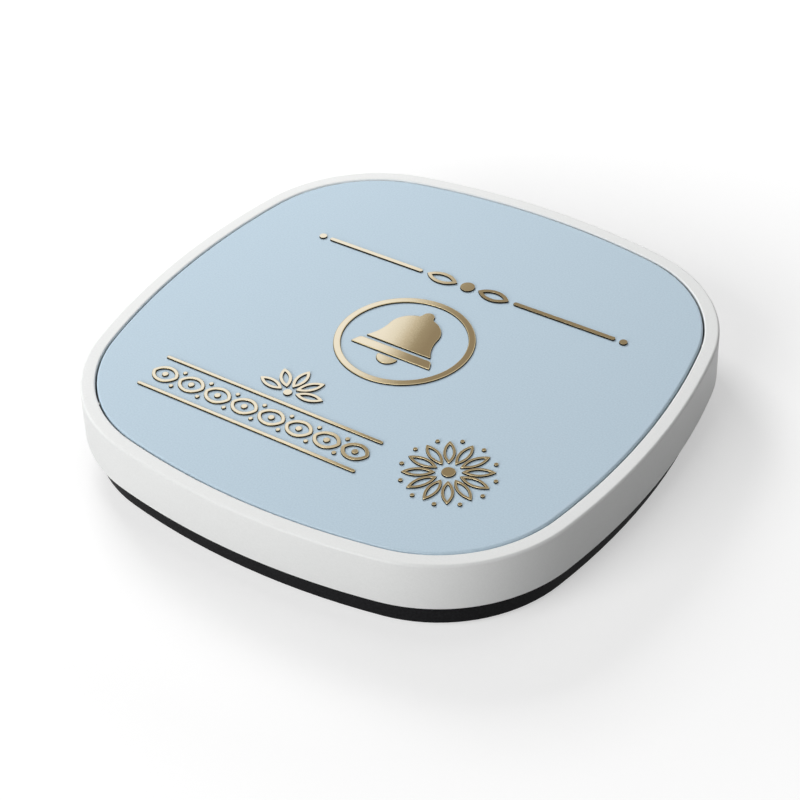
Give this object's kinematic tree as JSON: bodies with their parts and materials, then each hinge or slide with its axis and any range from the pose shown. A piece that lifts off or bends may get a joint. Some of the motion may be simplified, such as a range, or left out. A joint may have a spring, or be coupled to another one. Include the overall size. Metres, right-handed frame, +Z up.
{
  "type": "waiter call button",
  "caption": "Low square table call button: its whole sprung top plate, with a raised bell sign, presses a switch over a coin-cell base with a twist-off battery door.",
  "frame": {"origin": "on the table plane, under the middle of the pad", "axes": "+Z up from the table, +X to the right and +Y to the top of the bell sign as it is read"},
  "size_m": [0.1, 0.1, 0.0154],
  "materials": {
    "white_plastic": "satin",
    "black_plastic": "fine spark-eroded grain",
    "blue_lacquer": "satin lacquer",
    "foam_tape": "matt",
    "carrier_plastic": "as moulded",
    "gold_trim": "satin",
    "cell_steel": "satin",
    "spring_steel": "bright",
    "board_laminate": "solder mask",
    "component_plastic": "matt",
    "plunger_plastic": "matt",
    "lid_metal": "satin",
    "antenna_metal": "bright",
    "chip_ceramic": "matt",
    "foot_rubber": "matt"
  },
  "bodies": {
    "case": {"housing_ring": "white_plastic", "base_tray": "black_plastic", "coin_cell": "cell_steel", "positive_contact": "spring_steel", "negative_contact": "spring_steel", "circuit_board": "board_laminate", "switch_body": "component_plastic", "microcontroller": "component_plastic", "saw_resonator": "lid_metal", "crystal": "lid_metal", "loop_antenna": "antenna_metal", "chip_parts": "chip_ceramic", "return_spring_front_left": "spring_steel", "return_spring_front_right": "spring_steel", "return_spring_back_left": "spring_steel", "return_spring_back_right": "spring_steel", "rubber_foot_front_left": "foot_rubber", "rubber_foot_front_right": "foot_rubber", "rubber_foot_back_left": "foot_rubber", "rubber_foot_back_right": "foot_rubber"},
    "press_plate": {"key_carrier": "carrier_plastic", "face_tape": "foam_tape", "face_plate": "blue_lacquer", "sign_ring": "gold_trim", "sign_bell": "gold_trim", "sign_brim": "gold_trim", "sign_clapper": "gold_trim"},
    "plunger": {"switch_plunger": "plunger_plastic"},
    "door": {"battery_door": "black_plastic"}
  },
  "joints": [
    {"name": "plate_press", "type": "slide", "parent": "case", "child": "press_plate", "axis": [0, 0, -1], "range_m": [0, 0.001], "stiffness_N_per_m": 1640, "springref_m": -0.001, "deforming": ["return_spring_front_left", "return_spring_front_right", "return_spring_back_left", "return_spring_back_right"]},
    {"name": "switch_press", "type": "slide", "parent": "case", "child": "plunger", "axis": [0, 0, -1], "range_m": [0, 0.001]},
    {"name": "door_turn", "type": "hinge", "parent": "case", "child": "door", "pos_m": [0, -0.0288, 0.0014], "axis": [0, 0, 1], "range_deg": [0, 35]}
  ],
  "couplings": [
    {"joint": "switch_press", "follows": "plate_press", "ratio": 1}
  ]
}
